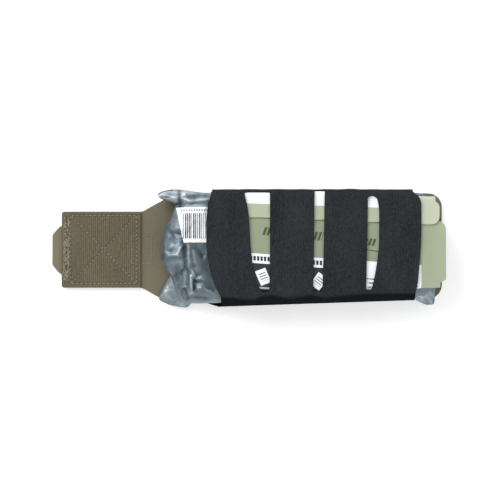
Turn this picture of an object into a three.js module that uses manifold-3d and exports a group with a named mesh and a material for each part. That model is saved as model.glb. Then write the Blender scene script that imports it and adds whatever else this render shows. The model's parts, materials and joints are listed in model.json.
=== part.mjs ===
// A loaded slide-in insert for a trauma kit pouch, lying on its back. A laminated-fabric carrier ends in a
// hook-tape pull tab. An elastic sleeve, cut open into four bands, holds a vacuum-packed dressing pouch,
// with a folded foil packet of chest seals on top of it.
//
// Millimetres. +X runs from the pull tab towards the open end, +Y across, +Z out of the front face.
// The origin is under the middle of the insert, on the surface that it lies on.

import * as THREE from 'three';
import { mergeVertices } from 'three/addons/utils/BufferGeometryUtils.js';
import Module from 'manifold-3d';

const wasm = await Module();
wasm.setup();

// ---- driving dimensions ----

const GAP = 0.3; // between pieces that touch on the real object

const REAR_LAYER_Z = 0; // elastic hems, tongue and anchor, all behind the carrier
const REAR_LAYER = 1.2;
const PANEL_Z = REAR_LAYER_Z + REAR_LAYER + GAP;
const PANEL = 1.0;
const PANEL_TOP = PANEL_Z + PANEL;
const PANEL_HALF = 35.7;
const PANEL_RIGHT = 128;

const FOLD_X = -63.8; // the tab folds about this line
const FOLD_CLEARANCE = 2.5;

const TAB_LEFT = -125.6;
const TAB_RIGHT = -72.3; // where the neck starts to flare
const TAB_HALF = 25.4;
const FLARE_SLOPE = 0.55;

const TONGUE_LEFT = -132;
const TONGUE_RIGHT = -113;
const TONGUE_HALF = 16;
const TONGUE_TIP_HALF = 9.3;

const HOOK_Z = PANEL_TOP + GAP;
const HOOK = 1.8;
const HOOK_TOP = HOOK_Z + HOOK;

const THREAD = 0.6;
const THREAD_HEIGHT = 0.35;
const GROOVE = THREAD + 2 * GAP;
const BOX_X = { left: -119.4, right: -75.8, half: 22.6 };
const TONGUE_SEAM = { left: -123.5, right: -121.1, half: 21.3 };
const SEAM_REACH = 2.4; // how far a zigzag seam swings from side to side

const ANCHOR = { left: -80, right: -69.3, half: 9.5 };
const ANCHOR_SEAM = { left: -79, right: -67.8, half: 9.2 };

const SLEEVE_LEFT = -29.4;
const SLEEVE_RIGHT = 114.5;
const SLEEVE_HALF = 39.2;
const SLEEVE_TOP = 34.4;
const ELASTIC = 1.2;
const SLEEVE_CORNER = 7;
const HEM_INNER = 24;
const HEM_SEAM_Y = 28.5;
const WALL_KEPT = 8; // below this height the sleeve's side walls run straight

const POUCH_LEFT = -60.4;
const POUCH_RIGHT = 123.2;
const POUCH_HALF = 37.6;
const POUCH_Z = PANEL_TOP + GAP;
const POUCH_TOP = 25.5;
const FILM = 0.8;

const PACKET_LEFT = -20;
const PACKET_RIGHT = 132;
const PACKET_FLAP_RIGHT = 126.5;
const PACKET_Z = POUCH_TOP + GAP;
const PACKET_TOP = 32.8;
const PACKET_LOW = -30;
const PACKET_HIGH = 36;
const FLAP_LOWER_EDGE = 18.6; // free edge of the flap folded up from the -Y side
const FLAP_UPPER_EDGE = 20.2; // free edge of the flap folded down from the +Y side
const FOIL = 0.5;
const SEAL = 0.6;

// ---- colours ----

const laminate = { color: 0x766e56, roughness: 0.85, metalness: 0 };
const hookTape = { color: 0x69624e, roughness: 0.95, metalness: 0 };
const oliveThread = { color: 0x968e78, roughness: 0.8, metalness: 0 };
const blackThread = { color: 0x1c1e20, roughness: 0.8, metalness: 0 };
const elasticBlack = { color: 0x2e3235, roughness: 0.9, metalness: 0 };
const greyFilm = { color: 0x58666f, roughness: 0.3, metalness: 0.1 };
const labelWhite = { color: 0xf0f1f1, roughness: 0.6, metalness: 0 };
const sageFoil = { color: 0xa0aa8c, roughness: 0.5, metalness: 0 };
const gauzeWhite = { color: 0xe8e6dc, roughness: 0.95, metalness: 0 };
const barGrey = { color: 0x8f9390, roughness: 0.5, metalness: 0 };
const gelClear = { color: 0xd8dcd6, roughness: 0.3, metalness: 0 };

// ---- helpers ----

function toSolid(geometry) {
  geometry.deleteAttribute('normal');
  geometry.deleteAttribute('uv');
  const merged = mergeVertices(geometry, 1e-4);
  return new wasm.Manifold(
    new wasm.Mesh({
      numProp: 3,
      vertProperties: new Float32Array(merged.attributes.position.array),
      triVerts: new Uint32Array(merged.index.array),
    }),
  );
}

function toGeometry(solid) {
  const mesh = solid.getMesh();
  const geometry = new THREE.BufferGeometry();
  geometry.setAttribute('position', new THREE.BufferAttribute(mesh.vertProperties, 3));
  geometry.setIndex(new THREE.BufferAttribute(mesh.triVerts, 1));
  geometry.computeVertexNormals();
  return geometry;
}

// A closed outline through corners [x, y, radius]; a corner with a radius is rounded off.
function outline(corners) {
  const shape = new THREE.Shape();
  corners.forEach(([x, y, radius = 0], index) => {
    const corner = new THREE.Vector2(x, y);
    const [beforeX, beforeY] = corners.at(index - 1);
    const [afterX, afterY] = corners[(index + 1) % corners.length];
    const towards = (otherX, otherY) =>
      new THREE.Vector2(otherX, otherY).sub(corner).setLength(radius).add(corner);
    const arrive = radius ? towards(beforeX, beforeY) : corner;
    if (index === 0) shape.moveTo(arrive.x, arrive.y);
    else shape.lineTo(arrive.x, arrive.y);
    if (radius) {
      const leave = towards(afterX, afterY);
      shape.quadraticCurveTo(x, y, leave.x, leave.y);
    }
  });
  shape.closePath();
  return shape;
}

// An outline in plan, raised from one height to another.
function plate(shape, low, high, curveSegments = 4) {
  const settings = { depth: high - low, bevelEnabled: false, curveSegments };
  const geometry = new THREE.ExtrudeGeometry(shape, settings);
  geometry.translate(0, 0, low);
  return toSolid(geometry);
}

// A cross-section drawn in Y and Z, run along X.
function runAlongX(section, left, right, curveSegments = 6) {
  const depth = right - left;
  const geometry = new THREE.ExtrudeGeometry(section, { depth, bevelEnabled: false, curveSegments });
  const toYZX = new THREE.Matrix4().makeBasis(
    new THREE.Vector3(0, 1, 0),
    new THREE.Vector3(0, 0, 1),
    new THREE.Vector3(1, 0, 0),
  );
  geometry.applyMatrix4(toYZX);
  geometry.translate(left, 0, 0);
  return toSolid(geometry);
}

function block(left, right, near, far, low, high) {
  const geometry = new THREE.BoxGeometry(right - left, far - near, high - low);
  geometry.translate((left + right) / 2, (near + far) / 2, (low + high) / 2);
  return toSolid(geometry);
}

// A straight run of stitching from one point to another.
function bar(startX, startY, endX, endY, width, low, high) {
  const length = Math.hypot(endX - startX, endY - startY) + width;
  const geometry = new THREE.BoxGeometry(length, width, high - low);
  geometry.rotateZ(Math.atan2(endY - startY, endX - startX));
  geometry.translate((startX + endX) / 2, (startY + endY) / 2, (low + high) / 2);
  return toSolid(geometry);
}

// The four sides of a stitched box, with its two diagonals if wanted.
function boxStitch({ left, right, half }, width, low, high, crossed) {
  const runs = [
    [left, half, right, half],
    [right, half, right, -half],
    [right, -half, left, -half],
    [left, -half, left, half],
  ];
  if (crossed) runs.push([left, -half, right, half], [left, half, right, -half]);
  return runs
    .map(([startX, startY, endX, endY]) => bar(startX, startY, endX, endY, width, low, high))
    .reduce((joined, next) => joined.add(next));
}

// A zigzag of thread along +X, swinging SEAM_REACH from side to side about Y = 0.
function zigzag(left, right, pitch) {
  const count = Math.round((right - left) / pitch);
  const step = (right - left) / count;
  const swing = (SEAM_REACH - THREAD) / 2;
  const point = (index, side) =>
    new THREE.Vector2(left + index * step, (index % 2 ? swing : -swing) + (side * THREAD) / 2);
  const indices = Array.from({ length: count + 1 }, (_, index) => index);
  const upper = indices.map((index) => point(index, 1));
  const lower = indices.map((index) => point(index, -1)).reverse();
  return new THREE.Shape([...upper, ...lower]);
}

// A closed pillow: boxy in plan, rounded at its edges, flat in the middle of each face.
function pillow(inset) {
  const geometry = new THREE.SphereGeometry(1, 40, 16);
  geometry.rotateX(Math.PI / 2);
  const position = geometry.attributes.position;
  const half = new THREE.Vector3(
    (POUCH_RIGHT - POUCH_LEFT) / 2 - inset,
    POUCH_HALF - inset,
    (POUCH_TOP - POUCH_Z) / 2 - inset,
  );
  const PLAN_POWER = 0.25;
  const EDGE_POWER = 0.5;
  const TINY = 1e-6;
  const raised = (value, power) => {
    const size = Math.abs(value);
    return size < TINY ? 0 : Math.sign(value) * size ** power;
  };
  for (let index = 0; index < position.count; index += 1) {
    const direction = new THREE.Vector3().fromBufferAttribute(position, index);
    const across = Math.max(Math.hypot(direction.x, direction.y), TINY);
    const reach = raised(across, EDGE_POWER);
    const turnX = raised(direction.x / across, PLAN_POWER);
    const turnY = raised(direction.y / across, PLAN_POWER);
    position.setXYZ(
      index,
      half.x * reach * turnX,
      half.y * reach * turnY,
      half.z * raised(direction.z, EDGE_POWER),
    );
  }
  geometry.translate((POUCH_LEFT + POUCH_RIGHT) / 2, 0, (POUCH_Z + POUCH_TOP) / 2);
  return toSolid(geometry);
}

const insert = new THREE.Group();

function addNode(name, solid, finish) {
  const mesh = new THREE.Mesh(toGeometry(solid), new THREE.MeshStandardMaterial(finish));
  mesh.name = name;
  insert.add(mesh);
}

// ---- carrier ----

function carrierPanel() {
  const left = FOLD_X + FOLD_CLEARANCE;
  const neckHalf = TAB_HALF + (left - TAB_RIGHT) * FLARE_SLOPE;
  const shoulder = TAB_RIGHT + (PANEL_HALF - TAB_HALF) / FLARE_SLOPE;
  const shape = outline([
    [left, -neckHalf],
    [shoulder, -PANEL_HALF, 3],
    [PANEL_RIGHT, -PANEL_HALF, 8],
    [PANEL_RIGHT, PANEL_HALF, 8],
    [shoulder, PANEL_HALF, 3],
    [left, neckHalf],
  ]);
  return plate(shape, PANEL_Z, PANEL_TOP);
}

function sleeveSection() {
  const inner = SLEEVE_HALF - ELASTIC;
  const innerTop = SLEEVE_TOP - ELASTIC;
  const innerCorner = SLEEVE_CORNER - ELASTIC;
  return outline([
    [-HEM_INNER, 0],
    [-SLEEVE_HALF, 0, 1],
    [-SLEEVE_HALF, SLEEVE_TOP, SLEEVE_CORNER],
    [SLEEVE_HALF, SLEEVE_TOP, SLEEVE_CORNER],
    [SLEEVE_HALF, 0, 1],
    [HEM_INNER, 0],
    [HEM_INNER, REAR_LAYER],
    [inner, REAR_LAYER],
    [inner, innerTop, innerCorner],
    [-inner, innerTop, innerCorner],
    [-inner, REAR_LAYER],
    [-HEM_INNER, REAR_LAYER],
  ]);
}

// The three windows between the four bands; the first has a slanted, bowed edge.
function windowOutlines() {
  const top = SLEEVE_HALF - SLEEVE_CORNER;
  const bottom = -top + 1;
  return [
    outline([[-3, top], [13.5, top, 2], [13.5, bottom, 2], [7.5, bottom, 2], [3.2, -20, 6], [0, 6, 10]]),
    outline([[43, top, 2], [50, top, 2], [49.3, bottom, 2], [42, bottom, 2]]),
    outline([[78.8, top, 2], [86.4, top, 3], [84, bottom, 2], [77.5, bottom, 2]]),
  ];
}

// What is trimmed off the two ends, so that the bands' outer edges bow in plan.
function endOutlines() {
  const past = SLEEVE_HALF + 5;
  const left = SLEEVE_LEFT - 10;
  const right = SLEEVE_RIGHT + 10;
  return [
    outline([[left, past], [-25.4, past], [-29.2, 8, 12], [-27.5, -12, 8], [-19.4, -past], [left, -past]]),
    outline([[right, past], [109, past], [114.3, 30, 5], [114.3, 8, 12], [110, -past], [right, -past]]),
  ];
}

function hemPocket(side) {
  const near = side * HEM_SEAM_Y - SEAM_REACH / 2 - GAP;
  const far = side * HEM_SEAM_Y + SEAM_REACH / 2 + GAP;
  return block(SLEEVE_LEFT + 1, SLEEVE_RIGHT - 3, near, far, -1, 2 * GAP + THREAD_HEIGHT / 2);
}

function elasticSleeve() {
  const past = SLEEVE_TOP + 5;
  const front = SLEEVE_TOP - SLEEVE_CORNER - 1;
  const cuts = [
    ...windowOutlines().map((shape) => plate(shape, front, past)),
    ...endOutlines().map((shape) => plate(shape, WALL_KEPT, past)),
    hemPocket(-1),
    hemPocket(1),
  ];
  const whole = runAlongX(sleeveSection(), SLEEVE_LEFT, SLEEVE_RIGHT);
  return cuts.reduce((left, cut) => left.subtract(cut), whole);
}

function hemThread(side) {
  const LIFT = 0.1;
  const run = plate(zigzag(SLEEVE_LEFT + 2, SLEEVE_RIGHT - 4, 4), LIFT, LIFT + THREAD_HEIGHT);
  return run.translate([0, side * HEM_SEAM_Y, 0]);
}

function buildCarrier() {
  addNode('carrier_panel', carrierPanel(), laminate);
  addNode('elastic_sleeve', elasticSleeve(), elasticBlack);
  addNode('upper_hem_thread', hemThread(1), blackThread);
  addNode('lower_hem_thread', hemThread(-1), blackThread);
}

// ---- pull tab ----

function tabPanel() {
  const right = FOLD_X - FOLD_CLEARANCE;
  const neckHalf = TAB_HALF + (right - TAB_RIGHT) * FLARE_SLOPE;
  const shape = outline([
    [TAB_LEFT, -TAB_HALF, 1.5],
    [TAB_RIGHT, -TAB_HALF, 1],
    [right, -neckHalf],
    [right, neckHalf],
    [TAB_RIGHT, TAB_HALF, 1],
    [TAB_LEFT, TAB_HALF, 1.5],
  ]);
  const groove = boxStitch(ANCHOR_SEAM, GROOVE, PANEL_TOP - THREAD_HEIGHT - 0.2, PANEL_TOP + 1, false);
  return plate(shape, PANEL_Z, PANEL_TOP).subtract(groove);
}

function gripTongue() {
  const shoulder = TAB_LEFT - 0.2;
  const shape = outline([
    [TONGUE_LEFT, -TONGUE_TIP_HALF, 1],
    [shoulder, -TONGUE_HALF, 1],
    [TONGUE_RIGHT, -TONGUE_HALF],
    [TONGUE_RIGHT, TONGUE_HALF],
    [shoulder, TONGUE_HALF, 1],
    [TONGUE_LEFT, TONGUE_TIP_HALF, 1],
  ]);
  return plate(shape, REAR_LAYER_Z, REAR_LAYER);
}

function hookPatch() {
  const right = TAB_RIGHT - 0.7;
  const low = HOOK_TOP - THREAD_HEIGHT - 2 * GAP;
  const past = HOOK_TOP + 1;
  const seam = TONGUE_SEAM;
  const shape = outline([
    [TAB_LEFT, -TAB_HALF, 1.5],
    [right, -TAB_HALF, 0.5],
    [right, TAB_HALF, 0.5],
    [TAB_LEFT, TAB_HALF, 1.5],
  ]);
  const seamEnd = seam.half + 2 * GAP;
  return plate(shape, HOOK_Z, HOOK_TOP)
    .subtract(boxStitch(BOX_X, GROOVE, low, past, true))
    .subtract(block(seam.left - GAP, seam.right + GAP, -seamEnd, seamEnd, low, past));
}

function tongueThread() {
  const run = plate(zigzag(-TONGUE_SEAM.half, TONGUE_SEAM.half, 3), 0, THREAD_HEIGHT);
  const centre = (TONGUE_SEAM.left + TONGUE_SEAM.right) / 2;
  return run.rotate([0, 0, 90]).translate([centre, 0, HOOK_TOP - THREAD_HEIGHT - GAP]);
}

function buildPullTab() {
  const threadLow = HOOK_TOP - THREAD_HEIGHT - GAP;
  const anchorLow = PANEL_TOP - THREAD_HEIGHT + 0.1;
  const anchorSeam = boxStitch(ANCHOR_SEAM, THREAD, anchorLow, anchorLow + THREAD_HEIGHT, false);
  const anchor = block(ANCHOR.left, ANCHOR.right, -ANCHOR.half, ANCHOR.half, REAR_LAYER_Z, REAR_LAYER);
  addNode('tab_panel', tabPanel(), laminate);
  addNode('grip_tongue', gripTongue(), laminate);
  addNode('hook_patch', hookPatch(), hookTape);
  addNode('box_x_thread', boxStitch(BOX_X, THREAD, threadLow, threadLow + THREAD_HEIGHT, true), oliveThread);
  addNode('tongue_thread', tongueThread(), oliveThread);
  addNode('webbing_anchor', anchor, laminate);
  addNode('anchor_thread', anchorSeam, oliveThread);
}

// ---- vacuum-packed dressing ----

function filmHalf(front) {
  const seam = (POUCH_Z + POUCH_TOP) / 2;
  const wide = 2 * PANEL_RIGHT;
  const kept = front
    ? block(-wide, wide, -wide, wide, seam + GAP / 2, POUCH_TOP + 1)
    : block(-wide, wide, -wide, wide, POUCH_Z - 1, seam - GAP / 2);
  return pillow(0).subtract(pillow(FILM)).intersect(kept);
}

function pouchLabel() {
  const skin = pillow(-2 * GAP).subtract(pillow(-GAP));
  return skin.intersect(block(-50, -29, 5, 29, (POUCH_Z + POUCH_TOP) / 2, POUCH_TOP + 2));
}

// A strip wound into a roll and pressed flat: its ends are round and its faces straight.
function bandageRoll() {
  const STRIP = 1.2;
  const PITCH = 1.8;
  const CORE = 0.8;
  const STRAIGHT_HALF = 20;
  const TURNS = 2.5;
  const STEPS_PER_TURN = 16;
  const middle = 15.2;
  const wound = (extra) =>
    Array.from({ length: TURNS * STEPS_PER_TURN + 1 }, (_, index) => {
      const turns = (index + 0.5) / STEPS_PER_TURN;
      const angle = turns * 2 * Math.PI;
      const radius = CORE + PITCH * turns + extra;
      const side = Math.sign(Math.cos(angle)) * STRAIGHT_HALF;
      return new THREE.Vector2(side + radius * Math.cos(angle), middle + radius * Math.sin(angle));
    });
  const section = new THREE.Shape([...wound(STRIP), ...wound(0).reverse()]);
  return runAlongX(section, -43, 107);
}

function absorbentPad() {
  const left = -38;
  const right = 98;
  const half = 28;
  const shape = outline([[left, -half, 6], [right, -half, 6], [right, half, 6], [left, half, 6]]);
  return plate(shape, 6, 8.3);
}

// The flat plastic bar that the wrap is hooked round, with its slot.
function closureBar() {
  const [left, right, half] = [26, 38, 18];
  const shape = outline([[left, -half, 3], [right, -half, 3], [right, half, 3], [left, half, 3]]);
  const endRim = 4;
  const sideRim = 5;
  const slot = outline([
    [left + endRim, -half + sideRim],
    [right - endRim, -half + sideRim],
    [right - endRim, half - sideRim],
    [left + endRim, half - sideRim],
  ]);
  shape.holes.push(slot);
  return plate(shape, 22.1, 23.6);
}

function buildDressing() {
  addNode('pouch_front_film', filmHalf(true), greyFilm);
  addNode('pouch_back_film', filmHalf(false), greyFilm);
  addNode('pouch_label', pouchLabel(), labelWhite);
  addNode('bandage_roll', bandageRoll(), gauzeWhite);
  addNode('absorbent_pad', absorbentPad(), gauzeWhite);
  addNode('closure_bar', closureBar(), barGrey);
}

// ---- folded packet of chest seals ----

// One layer of the gate-folded packet in Y and Z, inset evenly from the outermost one.
function foldedSection(inset, thickness) {
  const radius = (PACKET_TOP - PACKET_Z) / 2 - inset;
  const middle = (PACKET_TOP + PACKET_Z) / 2;
  const low = PACKET_LOW + inset + radius;
  const high = PACKET_HIGH - inset - radius;
  const lowerEdge = FLAP_LOWER_EDGE - inset;
  const upperEdge = FLAP_UPPER_EDGE + inset;
  const inner = radius - thickness;
  const quarter = Math.PI / 2;
  const shape = new THREE.Shape();
  shape.moveTo(lowerEdge, middle + radius);
  shape.lineTo(low, middle + radius);
  shape.absarc(low, middle, radius, quarter, 3 * quarter, false);
  shape.lineTo(high, middle - radius);
  shape.absarc(high, middle, radius, -quarter, quarter, false);
  shape.lineTo(upperEdge, middle + radius);
  shape.lineTo(upperEdge, middle + inner);
  shape.lineTo(high, middle + inner);
  shape.absarc(high, middle, inner, quarter, -quarter, true);
  shape.lineTo(low, middle - inner);
  shape.absarc(low, middle, inner, 3 * quarter, quarter, true);
  shape.lineTo(lowerEdge, middle + inner);
  shape.closePath();
  return shape;
}

// In plan the two flaps end apart, each with a rounded corner.
function packetPlan() {
  const past = 5;
  return outline([
    [PACKET_LEFT, PACKET_LOW - past],
    [PACKET_RIGHT, PACKET_LOW - past],
    [PACKET_RIGHT, (FLAP_LOWER_EDGE + FLAP_UPPER_EDGE) / 2, 6],
    [PACKET_FLAP_RIGHT, (FLAP_LOWER_EDGE + FLAP_UPPER_EDGE) / 2],
    [PACKET_FLAP_RIGHT, PACKET_HIGH + 0.5, 6],
    [PACKET_LEFT, PACKET_HIGH + 0.5],
  ]);
}

function packetFilm(inset) {
  const whole = runAlongX(foldedSection(inset, FOIL), PACKET_LEFT - 1, PACKET_RIGHT + 1);
  return whole.intersect(plate(packetPlan(), PACKET_Z - 1, PACKET_TOP + 1));
}

function chestSeal(inset) {
  const RIM = 10;
  return runAlongX(foldedSection(inset, SEAL), PACKET_LEFT + RIM, PACKET_FLAP_RIGHT - RIM);
}

function buildSealPack() {
  const firstSeal = FOIL + GAP;
  const secondSeal = firstSeal + SEAL + GAP;
  const innerFilm = secondSeal + SEAL + GAP;
  addNode('packet_outer_film', packetFilm(0), sageFoil);
  addNode('packet_inner_film', packetFilm(innerFilm), sageFoil);
  addNode('chest_seal_1', chestSeal(firstSeal), gelClear);
  addNode('chest_seal_2', chestSeal(secondSeal), gelClear);
}

buildCarrier();
buildPullTab();
buildDressing();
buildSealPack();

export default insert;
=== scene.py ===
import json
import math

import bmesh
import bpy
import numpy as np
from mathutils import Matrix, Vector, noise


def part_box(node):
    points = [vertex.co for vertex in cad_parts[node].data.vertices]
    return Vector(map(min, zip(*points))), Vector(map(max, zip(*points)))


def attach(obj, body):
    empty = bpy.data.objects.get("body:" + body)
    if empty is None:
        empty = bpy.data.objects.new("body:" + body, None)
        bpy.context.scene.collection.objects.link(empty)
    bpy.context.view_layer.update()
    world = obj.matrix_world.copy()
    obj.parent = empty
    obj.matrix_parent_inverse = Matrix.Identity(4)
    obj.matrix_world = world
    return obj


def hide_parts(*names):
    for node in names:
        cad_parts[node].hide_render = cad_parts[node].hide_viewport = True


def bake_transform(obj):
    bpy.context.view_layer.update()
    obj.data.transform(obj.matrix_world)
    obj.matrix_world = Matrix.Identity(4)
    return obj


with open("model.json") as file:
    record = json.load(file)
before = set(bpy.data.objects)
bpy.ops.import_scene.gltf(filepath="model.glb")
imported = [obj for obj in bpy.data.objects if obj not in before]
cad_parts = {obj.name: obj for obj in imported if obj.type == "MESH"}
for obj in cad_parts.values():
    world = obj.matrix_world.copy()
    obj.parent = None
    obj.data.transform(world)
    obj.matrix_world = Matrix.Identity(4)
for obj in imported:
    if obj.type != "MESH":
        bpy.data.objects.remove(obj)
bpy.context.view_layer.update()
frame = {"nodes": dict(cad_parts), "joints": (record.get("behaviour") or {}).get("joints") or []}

# A loaded slide-in insert for a trauma kit pouch. All sizes below are millimetres in the frame's own axes:
# +X from the pull tab to the open end, +Y across, +Z out of the front. mesh_object scales them to metres.
MM = 0.001
PRINT_UNIT = 0.01  # one millimetre in the "print" UV map
TURN = 2 * math.pi


def span(node):
    """Lowest and highest corner of a CAD node, in millimetres."""
    low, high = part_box(node)
    return np.array(low) / MM, np.array(high) / MM


PANEL_LOW, PANEL_HIGH = span("carrier_panel")
TAB_LOW = span("tab_panel")[0]
ROLL_LOW, ROLL_HIGH = span("bandage_roll")
HOOK_LOW, HOOK_HIGH = span("hook_patch")
TONGUE_LOW, TONGUE_HIGH = span("grip_tongue")
ANCHOR_LOW, ANCHOR_HIGH = span("webbing_anchor")
SLEEVE_LOW, SLEEVE_HIGH = span("elastic_sleeve")
POUCH_LOW = span("pouch_back_film")[0]
POUCH_HIGH = span("pouch_front_film")[1]
PACKET_LOW, PACKET_HIGH = span("packet_outer_film")
FOLD = np.array(next(j for j in frame["joints"] if j["name"] == "tab_fold")["pos_m"]) / MM

# ---------------------------------------------------------------- shapes


def smooth(low, high, value):
    t = np.clip((value - low) / (high - low), 0, 1)
    return t * t * (3 - 2 * t)


def curve(points, at):
    """A smooth line through a few points (place, value), read at any place; flat beyond its ends."""
    places, values = (np.array(column, float) for column in zip(*sorted(points)))
    rise = np.diff(values) / np.diff(places)
    product, total = rise[:-1] * rise[1:], rise[:-1] + rise[1:]
    turning = product <= 0
    inner = np.where(turning, 0, 2 * product / np.where(turning, 1, total))
    slopes = np.concatenate([rise[:1], inner, rise[-1:]])
    at = np.clip(at, places[0], places[-1])
    k = np.clip(np.searchsorted(places, at) - 1, 0, len(places) - 2)
    gap = places[k + 1] - places[k]
    t = (at - places[k]) / gap
    start = (1 + 2 * t) * (1 - t) ** 2 * values[k] + t * (1 - t) ** 2 * gap * slopes[k]
    return start + t * t * (3 - 2 * t) * values[k + 1] + t * t * (t - 1) * gap * slopes[k + 1]


def round_off(distance, reach, power=2.0):
    """0 at an edge, rising like a rounded shoulder to 1 at reach."""
    return (1 - (1 - np.clip(distance / reach, 0, 1)) ** power) ** (1 / power)


def ridge(x, y, start, end, width, height):
    """The height of a crease from start to end; a negative height makes a valley."""
    (ax, ay), (bx, by) = start, end
    t = np.clip(((x - ax) * (bx - ax) + (y - ay) * (by - ay)) / ((bx - ax) ** 2 + (by - ay) ** 2), 0, 1)
    away = np.hypot(x - ax - t * (bx - ax), y - ay - t * (by - ay))
    return height * np.exp(-((away / width) ** 1.5))


def per_point(function, x, y):
    """Reads a noise function, which takes one point at a time, over whole arrays."""
    x, y = np.broadcast_arrays(x, y)
    flat = [function(Vector((a, b, 0.0))) for a, b in zip(x.ravel(), y.ravel())]
    return np.array(flat).reshape(x.shape)


def waves(x, y, size, seed=0.0):
    """Soft random undulation between about -1 and 1."""
    return per_point(lambda p: noise.noise(p / size + Vector((seed, seed, seed))), x, y)


def crinkle(x, y, size, seed=0.0):
    """Flat facets with sharp creases between them, as in film: 0 in a facet, 1 on a crease."""

    def one(point):
        near = noise.voronoi(point / size + Vector((seed, 0.0, seed)))[0]
        return math.exp(-6 * (near[1] - near[0]))

    return per_point(one, x, y)


def patch(points, marks=None, keep=None, material=0):
    """A grid of points (rows, columns, 3), with marks (rows, columns, 2) for the print map."""
    if marks is None:
        marks = points[..., :2]
    return {"points": points, "marks": marks, "keep": keep, "material": material}


def stack(x, y, z):
    return np.stack(np.broadcast_arrays(x, y, z), axis=-1).astype(float)


def grid_quads(rows, columns, keep=None):
    index = np.arange(rows * columns).reshape(rows, columns)
    quads = np.stack([index[:-1, :-1], index[:-1, 1:], index[1:, 1:], index[1:, :-1]], axis=-1)
    return quads.reshape(-1, 4) if keep is None else quads[keep]


def mesh_object(name, points, faces, marks, material_of_face, materials):
    mesh = bpy.data.meshes.new(name)
    mesh.from_pydata((np.asarray(points) * MM).tolist(), [], [list(map(int, f)) for f in faces])
    layer = mesh.uv_layers.new(name="print")
    loops = np.zeros(len(mesh.loops), np.int32)
    mesh.loops.foreach_get("vertex_index", loops)
    layer.data.foreach_set("uv", (np.asarray(marks)[loops] * PRINT_UNIT).ravel())
    for material in materials:
        mesh.materials.append(material)
    mesh.polygons.foreach_set("material_index", np.asarray(material_of_face, np.int32))
    piece = bpy.data.objects.new(name, mesh)
    bpy.context.scene.collection.objects.link(piece)
    return piece


def tidy_mesh(piece, weld=0.02):
    """Welds the seams, drops loose points, and shades smoothly."""
    mesh = bmesh.new()
    mesh.from_mesh(piece.data)
    bmesh.ops.remove_doubles(mesh, verts=mesh.verts, dist=weld * MM)
    bmesh.ops.delete(mesh, geom=[v for v in mesh.verts if not v.link_faces], context="VERTS")
    mesh.to_mesh(piece.data)
    mesh.free()
    piece.data.shade_smooth()


def apply_modifiers(piece):
    graph = bpy.context.evaluated_depsgraph_get()
    final = bpy.data.meshes.new_from_object(piece.evaluated_get(graph))
    piece.modifiers.clear()
    piece.data = final


def sheet_piece(name, patches, thickness, materials, offset=0.0):
    """A thin closed sheet through one or more grids."""
    points, faces, marks, owners, first = [], [], [], [], 0
    for one in patches:
        rows, columns = one["points"].shape[:2]
        quads = grid_quads(rows, columns, one["keep"]) + first
        points.append(one["points"].reshape(-1, 3))
        marks.append(one["marks"].reshape(-1, 2))
        faces.extend(quads)
        owners.extend([one["material"]] * len(quads))
        first += rows * columns
    piece = mesh_object(name, np.concatenate(points), faces, np.concatenate(marks), owners, materials)
    tidy_mesh(piece)
    if thickness:
        solid = piece.modifiers.new("thickness", "SOLIDIFY")
        solid.thickness = thickness * MM
        solid.offset = offset
        solid.use_even_offset = True
    apply_modifiers(piece)
    sharpen(piece)
    return piece


def sharpen(piece, angle=40):
    """Smooth shading everywhere but across edges sharper than the angle."""
    mesh = bmesh.new()
    mesh.from_mesh(piece.data)
    limit = math.radians(angle)
    for edge in mesh.edges:
        edge.smooth = len(edge.link_faces) == 2 and edge.calc_face_angle(0) < limit
    for face in mesh.faces:
        face.smooth = True
    mesh.to_mesh(piece.data)
    mesh.free()


def slab_piece(name, top, bottom, materials, marks=None):
    """A closed body between two grids of the same layout, the top one facing up."""
    rows, columns = top.shape[:2]
    count = rows * columns
    index = np.arange(count).reshape(rows, columns)
    ring = np.concatenate([index[0, :-1], index[:-1, -1], index[-1, :0:-1], index[:0:-1, 0]])
    following = np.roll(ring, -1)
    upper = grid_quads(rows, columns)
    lower = upper[:, ::-1] + count
    rim = np.stack([following, ring, ring + count, following + count], axis=-1)
    faces = np.concatenate([upper, lower, rim])
    points = np.concatenate([top.reshape(-1, 3), bottom.reshape(-1, 3)])
    plan = (top[..., :2] if marks is None else marks).reshape(-1, 2)
    piece = mesh_object(name, points, faces, np.concatenate([plan, plan]), [0] * len(faces), materials)
    tidy_mesh(piece, weld=0.002)
    sharpen(piece)
    return piece


def place(piece, body, slot, *replaced):
    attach(piece, body)
    if replaced:
        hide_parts(*replaced)
    return piece


# ---------------------------------------------------------------- stitching


def walk(corners, pitch):
    """Middles and directions of stitches laid end to end along straight runs between corners."""
    found = []
    for (ax, ay), (bx, by) in zip(corners, corners[1:]):
        length = math.hypot(bx - ax, by - ay)
        count = max(1, round(length / pitch))
        direction = np.array([bx - ax, by - ay]) / length
        for k in range(count):
            middle = np.array([ax, ay]) + direction * length * (k + 0.5) / count
            found.append((middle, direction))
    return found


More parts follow.
